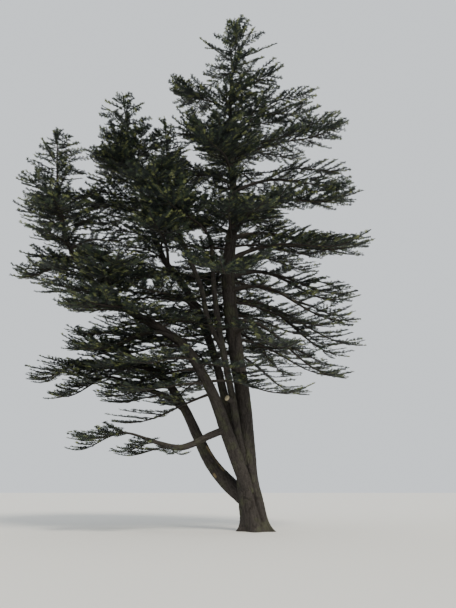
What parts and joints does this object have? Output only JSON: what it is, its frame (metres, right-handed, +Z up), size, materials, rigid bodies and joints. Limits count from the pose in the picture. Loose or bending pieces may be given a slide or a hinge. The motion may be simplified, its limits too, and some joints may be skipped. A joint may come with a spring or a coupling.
{
  "type": "cedar of lebanon tree",
  "caption": "Tall cedar with a leaning, flared trunk that divides low down into rising limbs, pointed heads and flat, spreading tiers of needles.",
  "frame": {"origin": "middle of the flat cut under the trunk, at ground level", "axes": "+Z up, +X to the right of the tree as the picture shows it, +Y away from the viewer"},
  "size_m": [16.2782, 10.9506, 26.24],
  "materials": {
    "bark": "dark brown-grey fissured bark, with a thin green film of algae on the lit sides",
    "needles": "dark green needles in flat sprays, olive on the tops of the tiers"
  },
  "bodies": {
    "root": {"trunk": "bark", "left_limb": "bark", "left_limb_head": "bark", "inner_limb": "bark", "inner_limb_head": "bark", "low_limb": "bark", "low_limb_end": "bark", "low_limb_fork": "bark", "sweeping_limb": "bark", "slender_limb": "bark", "slender_limb_fork": "bark", "right_tier_01": "needles", "right_tier_02": "needles", "right_tier_03": "needles", "right_tier_04": "needles", "right_tier_05": "needles", "right_tier_06": "needles", "right_tier_07": "needles", "right_tier_08": "needles", "right_tier_09": "needles", "right_tier_10": "needles", "front_tier_01": "needles", "front_tier_02": "needles", "front_tier_03": "needles", "front_tier_04": "needles", "back_tier_01": "needles", "back_tier_02": "needles", "back_tier_03": "needles", "back_tier_04": "needles", "upper_left_tier_01": "needles", "upper_left_tier_02": "needles", "upper_left_tier_03": "needles", "upper_right_tier": "needles", "crown_spire": "needles", "inner_head_spire": "needles", "inner_head_left_01": "needles", "inner_head_left_02": "needles", "inner_head_front": "needles", "inner_head_back": "needles", "inner_head_right": "needles", "inner_limb_left": "needles", "inner_limb_front": "needles", "inner_limb_upper": "needles", "inner_limb_back": "needles", "left_head_spire": "needles", "left_head_left": "needles", "left_head_front": "needles", "left_head_back": "needles", "left_head_right": "needles", "left_limb_low": "needles", "left_limb_front": "needles", "left_limb_upper": "needles", "left_head_low": "needles", "slender_limb_tier": "needles", "slender_fork_spire": "needles", "slender_fork_front": "needles", "low_limb_upper_tier": "needles", "low_limb_end_tier": "needles", "low_limb_fork_tier": "needles", "sweeping_limb_tier": "needles"}
  },
  "joints": []
}
